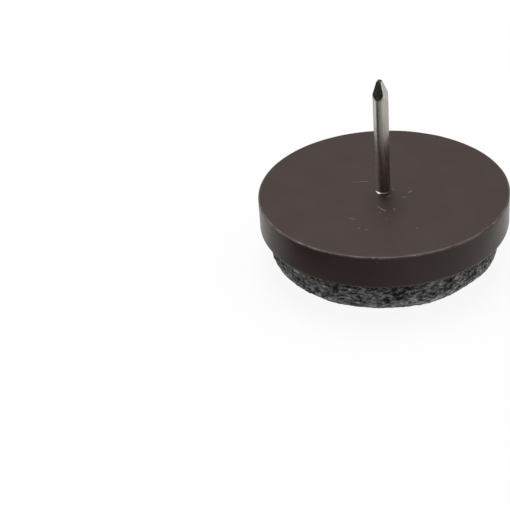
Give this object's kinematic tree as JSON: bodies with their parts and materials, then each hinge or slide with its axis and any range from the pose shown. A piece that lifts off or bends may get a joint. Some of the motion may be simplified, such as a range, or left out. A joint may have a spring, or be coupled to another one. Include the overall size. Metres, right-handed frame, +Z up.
{
  "type": "nail-on furniture glide",
  "caption": "Round nail-on furniture glide: a plastic cup with a pointed steel nail driven up into the leg and a thick felt pad that slides on the floor.",
  "frame": {"origin": "centre of the felt's underside, where the glide stands on the floor", "axes": "+Z up along the nail, away from the floor; X and Y across the round face"},
  "size_m": [0.03, 0.03, 0.0227],
  "materials": {
    "brown_plastic": "dark brown moulded plastic, satin face, smooth wall",
    "nail_steel": "bright drawn wire",
    "grey_felt": "mottled grey needle felt"
  },
  "bodies": {
    "root": {"plastic_cup": "brown_plastic", "nail": "nail_steel", "felt_pad": "grey_felt"}
  },
  "joints": []
}
